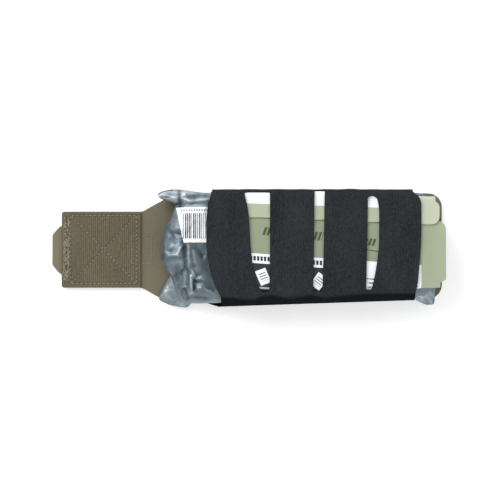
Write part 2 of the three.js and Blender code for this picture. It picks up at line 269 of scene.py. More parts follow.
def stitches(name, seam, height, length, material, thread=0.5, facing=1):
    """One mesh of separate stitches, each a short arched thread whose ends dip into the cloth."""
    rings, sides = 7, 8
    rng = np.random.default_rng(len(name))
    points, faces, first = [], [], 0
    for middle, direction in seam:
        slant = rng.uniform(-0.12, 0.12)
        along = np.array([math.cos(slant) * direction[0] - math.sin(slant) * direction[1],
                          math.sin(slant) * direction[0] + math.cos(slant) * direction[1], 0])
        across = np.array([-along[1], along[0], 0])
        out = np.array([0, 0, facing])
        reach = length * rng.uniform(0.92, 1.05)
        for k in range(rings):
            t = 2 * (k + 0.5) / rings - 1
            radius = thread / 2 * math.sqrt(1 - 0.85 * t ** 4)
            arch = thread * 0.45 * (1 - 2 * t * t)
            centre = np.array([*middle, height]) + along * t * reach / 2 + out * arch
            for side in range(sides):
                turn = TURN * side / sides
                points.append(centre + radius * (math.cos(turn) * across + math.sin(turn) * out))
        for k in range(rings - 1):
            for side in range(sides):
                a, b = first + k * sides + side, first + k * sides + (side + 1) % sides
                faces.append([a, b, b + sides, a + sides][::facing])
        faces.append(([first + side for side in range(sides)][::-1])[::facing])
        last = first + (rings - 1) * sides
        faces.append([last + side for side in range(sides)][::facing])
        first += rings * sides
    piece = mesh_object(name, points, faces, np.array(points)[:, :2], [0] * len(faces), [material])
    piece.data.shade_smooth()
    return piece


# ---------------------------------------------------------------- materials


class Value:
    """A number in a node material, so that arithmetic on it adds the math nodes."""

    def __init__(self, look, socket):
        self.look, self.socket = look, socket

    def __add__(self, other):
        return self.look.math("ADD", self, other)

    def __sub__(self, other):
        return self.look.math("SUBTRACT", self, other)

    def __mul__(self, other):
        return self.look.math("MULTIPLY", self, other)

    def __truediv__(self, other):
        return self.look.math("DIVIDE", self, other)

    def sin(self):
        return self.look.math("SINE", self)

    def floor(self):
        return self.look.math("FLOOR", self)

    def repeat(self, pitch):
        """Runs from 0 to 1 within each pitch."""
        scaled = self / pitch
        return scaled - scaled.floor()

    def clamped(self):
        return self.look.math("ADD", self, 0.0, clamp=True)

    def above(self, limit, soft):
        """0 below the limit, 1 above it, over a soft step."""
        return self.look.math("ADD", (self - limit) / soft, 0.5, clamp=True)


class Look:
    """A procedural material, built up by short calls."""

    def __init__(self, name, roughness, metallic=0.0, **fixed):
        self.material = bpy.data.materials.new(name)
        self.material.use_nodes = True
        self.tree = self.material.node_tree
        self.shader = self.tree.nodes["Principled BSDF"]
        self.shader.inputs["Roughness"].default_value = roughness
        self.shader.inputs["Metallic"].default_value = metallic
        for socket, value in fixed.items():
            self.shader.inputs[socket.replace("_", " ")].default_value = value

    def node(self, kind, inputs=None, **settings):
        made = self.tree.nodes.new("ShaderNode" + kind)
        for name, value in settings.items():
            setattr(made, name, value)
        for name, value in (inputs or {}).items():
            self.feed(made.inputs[name], value)
        return made

    def feed(self, socket, value):
        if isinstance(value, Value):
            value = value.socket
        if isinstance(value, bpy.types.NodeSocket):
            self.tree.links.new(value, socket)
        else:
            socket.default_value = value

    def math(self, operation, first, second=0.0, clamp=False):
        made = self.node("Math", {0: first, 1: second}, operation=operation, use_clamp=clamp)
        return Value(self, made.outputs[0])

    def place(self):
        """Where a point is at rest, in metres, as a vector and as three numbers in millimetres."""
        if not hasattr(self, "_place"):
            vector = self.node("TexCoord").outputs["Object"]
            parts = self.node("SeparateXYZ", {0: vector})
            self._place = vector, [Value(self, parts.outputs[k]) * (1 / MM) for k in range(3)]
        return self._place

    def marks(self):
        """The print map's two numbers, in millimetres."""
        vector = self.node("UVMap", uv_map="print").outputs[0]
        parts = self.node("SeparateXYZ", {0: vector})
        return [Value(self, parts.outputs[k]) * (1 / PRINT_UNIT) for k in range(2)]

    def noise(self, size, detail=3.0, rough=0.55, stretch=(1, 1, 1)):
        """Random tone between 0 and 1, with features of about this size."""
        moved = self.node("Mapping", {"Vector": self.place()[0], "Scale": stretch})
        made = self.node(
            "TexNoise",
            {"Vector": moved.outputs[0], "Scale": 1 / (size * MM), "Detail": detail, "Roughness": rough},
        )
        return Value(self, made.outputs["Fac"])

    def mix(self, share, first, second):
        made = self.node("Mix", data_type="RGBA")
        for socket, value in zip((made.inputs[0], made.inputs[6], made.inputs[7]), (share, first, second)):
            self.feed(socket, value)
        return made.outputs[2]

    def tone(self, colour, spread, share):
        """The colour, darker where share is 0 and lighter where it is 1."""
        dark = (*(c * (1 - spread) for c in colour), 1)
        light = (*(min(1, c * (1 + spread)) for c in colour), 1)
        return self.mix(share, dark, light)

    def within(self, u, v, left, right, low, high, soft=0.12):
        """1 inside a printed rectangle, 0 outside."""
        side = u.above(left, soft) * (u * -1).above(-right, soft)
        return side * v.above(low, soft) * (v * -1).above(-high, soft)

    def bars(self, value, pitch, filled):
        """1 over the filled share of each pitch, 0 between."""
        return self.math("LESS_THAN", value.repeat(pitch), filled)

    def finish(self, colour, height=None, depth=0.1, roughness=None):
        self.feed(self.shader.inputs["Base Color"], colour)
        if roughness is not None:
            self.feed(self.shader.inputs["Roughness"], roughness)
        if height is not None:
            bump = self.node("Bump", {"Height": height, "Distance": depth * MM, "Strength": 1.0})
            self.feed(self.shader.inputs["Normal"], bump.outputs[0])
        return self.material


LAMINATE = (0.146, 0.130, 0.082)
LAMINATE_SMOOTH = (0.175, 0.153, 0.093)
HOOK_TAPE = (0.145, 0.122, 0.074)
THREAD_OLIVE = (0.300, 0.270, 0.195)
THREAD_BLACK = (0.020, 0.021, 0.023)
ELASTIC = (0.0258, 0.0300, 0.0333)
ELASTIC_EDGE = (0.060, 0.066, 0.070)
# Near black, painted on the elastic's lower side wall as its shade
ELASTIC_PAINTED_SHADE = (0.004, 0.004, 0.004)
# The film's colours from dark to light: painted shade in creases takes it to the dark one, painted
# highlights on ridges to the light one
FILM_DARK_PAINTED_SHADE = (0.055, 0.080, 0.100)
FILM_MID = (0.150, 0.190, 0.215)
FILM_LIGHT_PAINTED_HIGHLIGHT = (0.480, 0.540, 0.585)
FILM_SCUFF = (0.360, 0.400, 0.430)
SAGE = (0.258, 0.300, 0.197)
SAGE_MARGIN = (0.342, 0.392, 0.262)
SAGE_PALE = (0.405, 0.452, 0.315)
CREAM = (0.530, 0.560, 0.420)
PRINT_WHITE = (0.860, 0.880, 0.890)
PRINT_BLACK = (0.022, 0.024, 0.026)
PRINT_GREEN = (0.060, 0.080, 0.030)
PRINT_LINES = (0.100, 0.110, 0.110)
SMALL_PRINT = (0.060, 0.070, 0.075)
PALE_BAR = (0.420, 0.460, 0.470)
LABEL_INK = (0.035, 0.037, 0.042)
GAUZE = (0.800, 0.780, 0.710)
PLASTIC_GREY = (0.270, 0.290, 0.280)
GEL = (0.680, 0.720, 0.670)
FLOOR_WHITE = (0.930, 0.930, 0.930)


def cloth_look(name, colour, pitch, roughness, spread=0.10, depth=0.10):
    """Plain weave in the X-Y plane, with uneven dye and a little lint."""
    look = Look(name, roughness, Sheen_Weight=0.15, Sheen_Roughness=0.5)
    x, y, _ = look.place()[1]
    over = (x * (TURN / pitch)).sin() * (y * (TURN / pitch)).sin()
    mottle = look.noise(7, detail=4)
    lint = look.noise(0.5, detail=2).above(0.66, 0.05)
    speckle = look.noise(1.1, detail=2)
    share = (over * 0.32 + 0.5) * 0.4 + mottle * 0.5 + (speckle - 0.5) * 1.1 + 0.05
    woven = look.tone(colour, spread, share.clamped())
    paler = (*(c * 1.7 for c in colour), 1)
    return look.finish(look.mix(lint * 0.25, woven, paler), over * 0.5 + look.noise(0.9) * 0.8, depth)


def hook_look():
    """Hook tape: painted shade darker between its ribs, and painted highlights paler on the ribs and at the
    tips of the hooks, following the height of its surface and bump.
    """
    look = Look("hook_tape_olive", 0.82, Sheen_Weight=0.2, Sheen_Roughness=0.4)
    z = look.place()[1][2]
    valley, rise = HOOK_HIGH[2] - 0.55, 0.75
    painted_height_light = (z - valley) / rise
    tips_bump_and_painted_highlight = look.noise(0.55, detail=2)
    # Painted light and shade by height: low tape darker, raised ribs and high hook noise paler, with a
    # random tone on top.
    share = painted_height_light * 0.6 + tips_bump_and_painted_highlight * 0.5 + look.noise(8) * 0.3 - 0.15
    return look.finish(look.tone(HOOK_TAPE, 0.42, share.clamped()), tips_bump_and_painted_highlight, 0.2)


def thread_look(name, colour):
    look = Look(name, 0.5, Sheen_Weight=0.3)
    x, y, _ = look.place()[1]
    twist = ((x + y) * (TURN / 0.45)).sin()
    share = twist * 0.3 + look.noise(3) * 0.6 + 0.15
    return look.finish(look.tone(colour, 0.35, share.clamped()), twist, 0.04)


def elastic_look():
    """Knitted elastic: fine wales across the insert, courses along it, and paler specks of fuzz."""
    look = Look("knit_elastic_black", 1.0, Specular_IOR_Level=0.0)
    u, v = look.marks()
    wall_end, blend = 47.5, 2.5  # where the lower side wall ends, along the girth from the lower hem
    # Painted shade: from the lower hem to the end of the lower side wall the knit is painted near black,
    # standing for the shade on that wall.
    painted_wall_shade = (v * -1).above(-wall_end, blend)
    wales = (u * (TURN / 1.05)).sin()
    courses = (v * (TURN / 0.7)).sin()
    uneven = look.noise(14, detail=4, stretch=(1, 0.35, 0.35))
    fuzz = look.noise(0.4, detail=2)
    speckle = look.noise(0.8, detail=3, stretch=(1, 0.5, 0.5))
    share = wales * 0.16 + courses * 0.1 + uneven * 0.9 + (speckle - 0.5) * 1.5 + 0.05
    worn = fuzz.above(0.66, 0.05) * 0.3
    colour = look.mix(worn, look.tone(ELASTIC, 0.48, share.clamped()), (*ELASTIC_EDGE, 1))
    # Mix in the painted shade on the lower side wall.
    colour = look.mix(painted_wall_shade * 0.75, colour, (*ELASTIC_PAINTED_SHADE, 1))
    return look.finish(colour, wales * 0.5 + courses * 0.35 + fuzz, 0.12)


def film_look():
    """Metallised vacuum film: blue grey, with fine creases that catch the light, and painted shade in its
    folds' creases and painted highlights on their ridges.
    """
    look = Look("vacuum_film_grey", 0.42, 0.55, Coat_Weight=0.12, Coat_Roughness=0.25)
    broad = look.noise(12, detail=2, stretch=(1, 0.6, 1))
    cells = look.node(
        "TexVoronoi",
        {"Vector": look.place()[0], "Scale": 1 / (7 * MM), "Randomness": 1.0},
        feature="DISTANCE_TO_EDGE",
    )
    crease = Value(look, cells.outputs["Distance"]).above(0.06, 0.12)
    fine = look.noise(2.2, detail=4, rough=0.6)
    # Painted light: the print map's first number, dark in the creases and light on the ridges, with a broad
    # random tone, takes the colour from dark to light.
    light = look.marks()[0] + (broad - 0.5) * 0.6
    colour = look.mix((light * 2).clamped(), (*FILM_DARK_PAINTED_SHADE, 1), (*FILM_MID, 1))
    colour = look.mix((light * 2 - 1).clamped(), colour, (*FILM_LIGHT_PAINTED_HIGHLIGHT, 1))
    scuffed = fine.above(0.72, 0.06) * 0.3
    colour = look.mix(scuffed, colour, (*FILM_SCUFF, 1))
    height = crease * 0.3 + fine * 0.22 + look.noise(6, detail=2) * 0.8
    return look.finish(colour, height, 0.25, fine * 0.16 + 0.33)


def label_look():
    """White label with a row of plain bars of uneven width, and no digits."""
    look = Look("white_label", 0.42)
    u, v = look.marks()
    pitch = 1.35
    cell = (u / pitch).floor()
    jitter = look.node("TexWhiteNoise", {"W": cell}, noise_dimensions="1D")
    share = (u / pitch) - cell
    width = Value(look, jitter.outputs["Value"]) * 0.62 + 0.22
    bar = look.math("LESS_THAN", share, width)
    bars = bar * look.within(u, v, -45.6, -16, 5.9, 22.9)
    header = look.bars(u, 1.7, 0.6) * look.within(u, v, -46.8, -16, 24.0, 25.5) * 0.8
    ink = look.math("MAXIMUM", bars, header) * (look.noise(0.8, detail=1) * 0.4 + 0.74).clamped()
    paper = look.tone(PRINT_WHITE, 0.06, look.noise(6))
    return look.finish(look.mix(ink, paper, (*LABEL_INK, 1)), look.noise(3), 0.12)


def packet_shade(look, colour, spread=0.05):
    return look.tone(colour, spread, look.noise(11, detail=3))


def upper_flap_look():
    """Upper flap of the packet: a white field, a pale green strip at its free edge, and a cream margin."""
    look = Look("packet_print_upper", 0.42)
    u, v = look.marks()
    white = packet_shade(look, PRINT_WHITE, 0.03)
    strip = (v * -1).above(-28.6, 0.2)
    margin = u.above(109.5, 0.5)
    colour = look.mix(strip, white, packet_shade(look, SAGE_PALE))
    colour = look.mix(margin, colour, packet_shade(look, CREAM))
    return look.finish(colour, look.noise(9, detail=3), 0.5, look.noise(4) * 0.15 + 0.34)


def lower_flap_look():
    """Lower flap: sage field with plain slanted marks, a white header, then pictogram cards on black."""
    look = Look("packet_print_lower", 0.45)
    u, v = look.marks()
    colour = packet_shade(look, SAGE)
    far_left, far_low = -40, -60  # beyond the flap's own edges
    print_end, text_start, cards_end = 113.2, 60, 58
    fields = (
        (far_left, far_low, -4.1, PRINT_BLACK, 0.2),
        (far_left, -10.7, -4.2, PRINT_WHITE, 0.03),
        (text_start, far_low, -4.1, PRINT_WHITE, 0.03),
    )
    for left, low, high, field, spread in fields:
        area = look.within(u, v, left, print_end, low, high)
        colour = look.mix(area, colour, packet_shade(look, field, spread))
    dashes = look.within(u, v, far_left, cards_end, -9.0, -6.0) * look.bars(u, 2.3, 0.68)
    colour = look.mix(dashes, colour, (*PRINT_BLACK, 1))
    slanted = u + v * -0.35
    for left, right, low, high in ((5.0, 11.8, 8.2, 13.6), (39.0, 44.6, 7.2, 13.0), (72.0, 80.5, 6.3, 11.0)):
        mark = look.within(slanted, v, left, right, low, high) * look.bars(slanted, 2.6, 0.66)
        colour = look.mix(mark, colour, (*PRINT_GREEN, 1))
    swoosh = v + ((u - 78) * 0.06).sin() * 1.5
    colour = look.mix(look.within(u, swoosh, 60, 92, 3.0, 3.7), colour, (*PRINT_GREEN, 1))
    cards = ((8.6, -19.2, 0.42), (45.6, -19.6, -0.62), (-7, -19, 0.42), (28, -20, -0.5))
    for centre_u, centre_v, tilt in cards:
        du, dv = u - centre_u, v - centre_v
        across = du * math.cos(tilt) + dv * math.sin(tilt)
        along = dv * math.cos(tilt) - du * math.sin(tilt)
        colour = look.mix(look.within(across, along, -3.7, 3.7, -5.2, 4.8), colour, (*PRINT_WHITE, 1))
        lines = look.within(across, along, -2.4, 2.6, -3.0, 2.6) * look.bars(along, 1.7, 0.36)
        colour = look.mix(lines, colour, (*PRINT_LINES, 1))
    pale_bar = look.within(u, v, far_left, cards_end, -27.4, -26.2)
    colour = look.mix(pale_bar, colour, (*PALE_BAR, 1))
    words = look.noise(1.1, detail=1, stretch=(1, 0.2, 1)).above(0.42, 0.05)
    lines = look.within(u, v, 62, 111, -27.5, -13.4) * look.bars(v, 2.7, 0.34) * words
    colour = look.mix(lines, colour, (*SMALL_PRINT, 1))
    colour = look.mix(u.above(print_end, 0.2), colour, packet_shade(look, SAGE_MARGIN))
    return look.finish(colour, look.noise(10, detail=3), 0.5, look.noise(4) * 0.15 + 0.36)


def plain_foil_look():
    look = Look("packet_foil_back", 0.4)
    return look.finish(packet_shade(look, SAGE_MARGIN), look.noise(6, detail=4), 0.4)


def gauze_look():
    look = Look("cotton_gauze", 0.95, Sheen_Weight=0.3)
    x, y, z = look.place()[1]
    mesh = (x * (TURN / 1.4)).sin() * ((y + z) * (TURN / 1.4)).sin()
    share = mesh * 0.4 + look.noise(2) * 0.6 + 0.2
    return look.finish(look.tone(GAUZE, 0.12, share.clamped()), mesh, 0.2)


def moulded_look():
    look = Look("moulded_plastic_grey", 0.5)
    return look.finish(look.tone(PLASTIC_GREY, 0.08, look.noise(4)), look.noise(0.7), 0.03)


def gel_look():
    look = Look("seal_gel_clear", 0.25, Coat_Weight=0.4)
    return look.finish(look.tone(GEL, 0.08, look.noise(5)), look.noise(3), 0.2)


# ---------------------------------------------------------------- carrier and tab


TAB_CORNER = 1.6
PANEL_CORNER = 9
TAB_HALF = 25.4
LAMINATE_THICK = 0.9


def tab_half(x):
    """Half the laminate's width along X: tab, flare, then the full width, with rounded ends."""
    full = PANEL_HIGH[1]
    flare = [(-72.3, 25.6), (-66.3, 28.7), (-61.3, 31.4), (-54, 35.2)]
    half = curve([(-200, TAB_HALF), (-74, TAB_HALF), *flare, (-51, full), (200, full)], x)
    left = round_off(x - TAB_LOW[0], TAB_CORNER)
    right = round_off(PANEL_HIGH[0] - x, PANEL_CORNER)
    return half - TAB_CORNER * (1 - left) - PANEL_CORNER * (1 - right)


def lean(x):
    """The loaded carrier lies a little askew: its middle line drifts to +Y towards the open end."""
    return 2.2 * smooth(-60, 150, x)


def carrier_sheet(material):
    ends = (TAB_LOW[0], FOLD[0] - 5, FOLD[0] + 5, PANEL_HIGH[0])
    x = np.concatenate([
        ends[0] + TAB_CORNER * (1 - np.cos(np.linspace(0, math.pi / 2, 7))),
        np.linspace(ends[0] + 3, ends[1], 36),
        np.linspace(ends[1] + 0.5, ends[2], 20),
        np.linspace(ends[2] + 1.4, ends[3] - PANEL_CORNER, 96),
        ends[3] - PANEL_CORNER * (1 - np.sin(np.linspace(0.15, math.pi / 2, 12))),
    ])
    across = np.linspace(-1, 1, 53)[:, None]
    nip = 1.1 * smooth(20, 110, x)  # the sleeve's lower wall draws the edge in towards the open end
    y = across * tab_half(x) + lean(x) + np.where(across < 0, -across, 0) * nip
    middle = (PANEL_LOW[2] + PANEL_HIGH[2]) / 2
    free = smooth(116, 128, x)
    z = middle + free * (0.5 + 0.5 * waves(x, y, 22, 3.1)) * 0.8
    piece = sheet_piece("laminate_carrier", [patch(stack(x, y, z))], LAMINATE_THICK, [material])
    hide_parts("carrier_panel", "tab_panel")
    wide_at = 2 * tab_half(x)
    outline_area = np.sum((wide_at[1:] + wide_at[:-1]) / 2 * np.diff(x)) * MM * MM
    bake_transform(piece)
    return piece


def tongue(material):
    """The grip: a doubled strip of the laminate with its corners cut off, folded over at the tip."""
    left, right = TONGUE_LOW[0], TONGUE_HIGH[0]
    tip = left + 0.8 * (1 - np.cos(np.linspace(0, math.pi / 2, 6)))
    x = np.concatenate([tip, np.linspace(left + 1.3, right, 30)])
    half = curve([(left, 10.2), (left + 6.2, 16), (left + 7.5, 16), (right, 16)], x)
    half = half - 0.6 * (1 - round_off(x - left, 0.8))
    across = np.linspace(-1, 1, 41)[:, None]
    y = across * half
    crown = round_off(half - np.abs(y), 0.5) * round_off(x - left, 0.5)
    low, high = TONGUE_LOW[2], TONGUE_HIGH[2]
    lift = 0.15 * waves(x, y, 9, 1.7)
    top = stack(x, y, (low + high) / 2 + 0.15 + crown * 0.4 + lift * smooth(left, left + 3, x))
    bottom = stack(x, y, (low + high) / 2 + 0.05 - crown * 0.5)
    piece = slab_piece("grip_tongue_laminate", top, bottom, [material])
    stack(x, y, low)
    return place(piece, "pull_tab", "laminate", "grip_tongue")


def box_x_runs():
    low, high = span("box_x_thread")
    left, right, bottom, top = low[0] + 0.3, high[0] - 0.3, low[1] + 0.3, high[1] - 0.3
    frame_run = [(left, top), (right, top), (right, bottom), (left, bottom), (left, top)]
    return frame_run, [(left, bottom), (right, top)], [(left, top), (right, bottom)]


def seam_press(x, y, runs, width=0.9):
    """1 on a seam, where its thread pulls the tape down, falling to 0 beside it."""
    pressed = np.zeros(np.broadcast(x, y).shape)
    for run in runs:
        for start, end in zip(run, run[1:]):
            pressed = np.maximum(pressed, ridge(x, y, start, end, width, 1.0))
    return pressed


def hook_tape(material):
    """Hook tape: ribs across the tab, each a row of small hooks, pressed flat under the stitching."""
    left, right = HOOK_LOW[0], HOOK_HIGH[0]
    half, low, high = HOOK_HIGH[1], HOOK_LOW[2], HOOK_HIGH[2]
    rib, hook = 1.30, 1.25
    x = np.linspace(left, right, 198)
    wide = half - 1.5 * (1 - round_off(x - left, 1.5)) - 0.8 * (1 - round_off(right - x, 0.8))
    y = np.linspace(-1, 1, 160)[:, None] * wide
    row = np.floor((x - left) / rib)
    ribs = 0.5 + 0.5 * np.cos(TURN * (x - left) / rib)
    hooks = 0.5 + 0.5 * np.cos(TURN * (y / hook + 0.5 * (row % 2)))
    selvedge = round_off(wide - np.abs(y), 2.2) * round_off(x - left, 1.0) * round_off(right - x, 1.0)
    tall = 0.30 * ribs + 0.38 * ribs * hooks
    bent = 0.26 * waves(x, y, 1.6, 5.0)
    tongue_seam = [(-122.3, -21), (-122.3, 21)]
    press = seam_press(x, y, [*box_x_runs(), tongue_seam])
    z = high - 0.62 + (tall + bent) * selvedge * (1 - 0.85 * press) - 0.25 * press
    z = z + 0.10 * waves(x, y, 16, 2.0)
    top, bottom = stack(x, y, z), stack(x, y, low)
    piece = slab_piece("hook_tape_patch", top, bottom, [material])
    return place(piece, "pull_tab", "hook_tape", "hook_patch")


def tab_stitching(material):
    frame_run, rising, falling = box_x_runs()
    pitch, length = 2.86, 2.0
    height = HOOK_HIGH[2] - 0.5
    seam = walk(frame_run, pitch) + walk(rising, pitch)
    box = stitches("box_x_stitches", seam, height, length, material)
    place(box, "pull_tab", "olive_thread", "box_x_thread")
    seam = walk(falling, pitch)
    sunk = stitches("box_x_stitches_sunk", seam, height - 0.36, length, material, thread=0.42)
    place(sunk, "pull_tab", "olive_thread", "box_x_thread")

    low, high = span("tongue_thread")
    rng = np.random.default_rng(11)
    dense = []
    for _ in range(230):
        middle = np.array([rng.uniform(low[0] - 0.7, high[0] + 0.7), rng.uniform(low[1] + 0.6, high[1])])
        turn = rng.normal(math.pi / 2, 0.6)
        dense.append((middle, np.array([math.cos(turn), math.sin(turn)])))
    tongue_row = stitches("tongue_zigzag_stitches", dense, height + 0.1, 1.5, material, thread=0.5)
    place(tongue_row, "pull_tab", "olive_thread", "tongue_thread")

    low, high = span("anchor_thread")
    left, right, reach = low[0] + 0.3, high[0] + 2.0, high[1] - 0.3
    around = [(right, reach), (right, -reach), (left, -reach), (left, reach), (right, reach)]
    on_cloth = [s for s in walk(around, 2.1) if s[0][0] > HOOK_HIGH[0] + 0.6]
    on_tape = [s for s in walk(around, 2.1) if s[0][0] < HOOK_HIGH[0] - 0.6]
    cloth = stitches("anchor_box_stitches", on_cloth, PANEL_HIGH[2] + 0.02, 1.5, material, thread=0.42)
    place(cloth, "pull_tab", "olive_thread", "anchor_thread")
    tape = stitches("anchor_box_stitches_on_tape", on_tape, height + 0.25, 1.5, material, thread=0.42)
    place(tape, "pull_tab", "olive_thread", "anchor_thread")


def webbing(material):
    """Short piece of narrow webbing behind the neck: ribs along its length, rounded selvedges."""
    left, right, half = ANCHOR_LOW[0], ANCHOR_HIGH[0], ANCHOR_HIGH[1]
    low, high = ANCHOR_LOW[2], ANCHOR_HIGH[2]
    x = np.linspace(left, right, 60)
    y = np.linspace(-half, half, 110)[:, None]
    edge = round_off(half - np.abs(y), 1.0) * round_off(np.minimum(x - left, right - x), 0.4)
    ribs = 0.5 + 0.5 * np.cos(TURN * y / 1.4) * np.cos(TURN * x / 1.1)
    middle = (low + high) / 2
    top = stack(x, y, middle + 0.02 + 0.5 * edge)
    bottom = stack(x, y, middle - 0.02 - edge * (0.42 + 0.14 * ribs))
    piece = slab_piece("sewn_anchor_webbing", top, bottom, [material])
    return place(piece, "pull_tab", "laminate", "webbing_anchor")


# ---------------------------------------------------------------- elastic sleeve

HALF_WALL = 38.6  # middle of the elastic in the side walls, at the back
STRETCH = 1.12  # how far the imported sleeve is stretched
CLOSING_IN = 0.034  # how fast the lower wall closes in along X


def lower_wall(x):
    """Y of the sleeve's lower wall at the back: it closes in towards the open end."""
    start, end = -48, 126
    return -HALF_WALL + CLOSING_IN * (np.clip(x, start, end) - start)


def rounded_path(corners, step):
    """Points about a step apart on a path through corners (y, z, radius), and how far along they are."""
    points = []
    for k, (y, z, radius) in enumerate(corners):
        corner = np.array([y, z])
        if not radius:
            points.append(corner)
            continue
        before = np.array(corners[k - 1][:2]) - corner
        after = np.array(corners[k + 1][:2]) - corner
        start = corner + before / np.linalg.norm(before) * radius
        end = corner + after / np.linalg.norm(after) * radius
        for t in np.linspace(0, 1, 13):
            points.append((1 - t) ** 2 * start + 2 * t * (1 - t) * corner + t * t * end)
    points = np.array(points)
    run = np.concatenate([[0], np.cumsum(np.linalg.norm(np.diff(points, axis=0), axis=1))])
    along = np.linspace(0, run[-1], round(run[-1] / step) + 1)
    return np.interp(along, run, points[:, 0]), np.interp(along, run, points[:, 1]), along


# Edges of the four bands across the front, as (y, x): outer edges, and both sides of each window.
BAND_EDGES = [
    [(-35, -19.2), (-24.5, -23.7), (-12.5, -27.1), (4.2, -28.8), (14.2, -28.9), (27.6, -27.8), (37, -25.1)],
    [(-31, 7.6), (-27, 5.6), (-22.5, 3.3), (-10.5, 1.3), (4.2, 0.0), (20.9, -1.0), (36.6, -4.0)],
    [(-31, 12.9), (0, 13.3), (36, 13.3)],
    [(-31, 41.6), (0, 42.1), (37, 42.6)],
    [(-31, 47.8), (0, 48.8), (37, 49.5)],
    [(-31, 76.5), (0, 77.3), (37, 77.9)],
    [(-31, 80.3), (-16, 83.2), (4, 85.4), (22, 85.5), (30, 84.6), (36, 82.5)],
    [(-34.5, 109.3), (-25.8, 110.6), (-5.8, 112.3), (7.6, 113.1), (27.6, 113.2), (33, 111.6), (36.3, 107.7)],
]
# How far the front's lower corner wanders in (+) or out (-) along X, as (x, y).
LOWER_CORNER = [(-29, 0.4), (-19, 0.8), (1, -1.7), (13, 1.5), (26, -1.3), (41, 0.8), (50, -1.9), (70, 0.3),
                (90, 0.9), (112, 0.0)]
WINDOW_REACH = [(-31.6, 36.4), (-32.2, 38.0), (-31.6, 34.6)]  # lowest and highest y of each window
WINDOW_CORNERS = [(0.5, 0.8), (0.4, 0.4), (0.6, 2.4)]  # rounding at its lower and upper end
WINDOW_SIZES = [(9, 68), (6.5, 70), (6, 66)]  # width and length of the cloth cut out of each


def elastic(material):
    top = SLEEVE_HIGH[2] - 0.6
    hem = 24
    back = 0.6
    lower = [(-hem, back, 0), (-HALF_WALL, back, 1.6), (-37.4, top, 6.5)]
    upper = [(37.8, top, 6.0), (HALF_WALL, back, 1.6), (hem, back, 0)]
    corners = lower + upper
    y, z, along = rounded_path(corners, 1.0)
    rows = len(along)
    front = z > 22
    edges = np.stack([curve(points, y) for points in BAND_EDGES])
    sewn = smooth(9, 2, z) * smooth(HALF_WALL + 1, HALF_WALL - 3, np.abs(y))
    edges[0] = edges[0] * (1 - sewn) + (SLEEVE_LOW[0] + 0.3) * sewn
    edges[-1] = edges[-1] * (1 - sewn) + 111.0 * sewn
    holes = []
    for k, ((low, high), (low_radius, high_radius)) in enumerate(zip(WINDOW_REACH, WINDOW_CORNERS)):
        inside = np.flatnonzero(front & (y >= low) & (y <= high))
        first, last = inside[0], inside[-1]
        holes.append((first, last))
        for row in range(first, last + 1):
            from_ends = (along[row] - along[first], low_radius), (along[last] - along[row], high_radius)
            for distance, radius in from_ends:
                pull = radius * (1 - float(round_off(distance, radius)))
                edges[1 + 2 * k][row] += pull
                edges[2 + 2 * k][row] -= pull
    columns = [44, 10, 30, 8, 30, 8, 32]
    x, owner = [], []
    for k, count in enumerate(columns):
        share = (np.arange(count) / count)[None, :]
        if k % 2 == 0:  # a band, with its columns closer together at its cut edges
            half_turn = math.pi * share
            share = 0.5 - 0.5 * np.cos(half_turn) * (1 - 0.35 * np.sin(half_turn) ** 2)
        x.append(edges[k][:, None] * (1 - share) + edges[k + 1][:, None] * share)
        owner += [k] * count
    x.append(edges[-1][:, None])
    x = np.concatenate(x, axis=1)
    y, z = np.repeat(y[:, None], x.shape[1], 1), np.repeat(z[:, None], x.shape[1], 1)
    keep = np.ones((rows - 1, x.shape[1] - 1), bool)
    for k, (first, last) in enumerate(holes):
        inside = [c for c, own in enumerate(owner) if own == 1 + 2 * k]
        keep[first:last, inside[0]:inside[-1] + 1] = False

    # The walls lean in towards the open end, and the front eases down to the pouch at its left edge.
    share = np.clip(y / HALF_WALL, -1, 1)
    y = y + np.where(y < 0, (lower_wall(x) + HALF_WALL) * np.abs(share) ** 3, 0)
    on_front = smooth(24, top, z)
    z = z - 3.2 * on_front * smooth(-13, -29, x)

    # Cut edges curl a little, the cloth is never quite flat, and it puckers where it is sewn to the back.
    curl = np.zeros_like(x)
    for k in range(8):
        near = np.exp(-np.abs(x - edges[k][:, None]) / 1.3)
        if k in (0, 7):
            curl = np.maximum(curl, near)
        else:
            first, last = holes[(k - 1) // 2]
            row = np.arange(rows)[:, None]
            curl = np.maximum(curl, near * ((row >= first) & (row <= last)))
    z = z + on_front * (0.30 * curl + 0.28 * waves(x, y, 17, 4.4) - 0.15)
    wall = smooth(2, 8, z) * (1 - on_front)
    side = np.sign(y)
    pucker = np.sin(TURN * x / 4.1 + 1.5 * waves(x, 0 * x, 9, 7.0))
    y = y + side * wall * (0.32 * pucker * smooth(26, 4, z) + 0.5 * waves(x, z, 19, 8.0)) * 0.8
    y = y + 0.45 * waves(x, 0 * x, 12, 9.0) * smooth(30, 38, np.abs(y)) * smooth(16, 24, z)
    y = y + curve(LOWER_CORNER, x) * smooth(-27, -36, y) * smooth(8, 26, z)
    marks = np.stack([x, np.repeat(along[:, None], x.shape[1], 1)], axis=-1)
    piece = sheet_piece("elastic_sleeve_knit", [patch(stack(x, y, z), marks, keep)], 1.0, [material])
    around, long = along[-1] / STRETCH, SLEEVE_HIGH[0] - SLEEVE_LOW[0]
    windows = sum(width * length for width, length in WINDOW_SIZES) / STRETCH
    area = (around * long - windows) * MM * MM
    return place(piece, "carrier", "elastic", "elastic_sleeve")


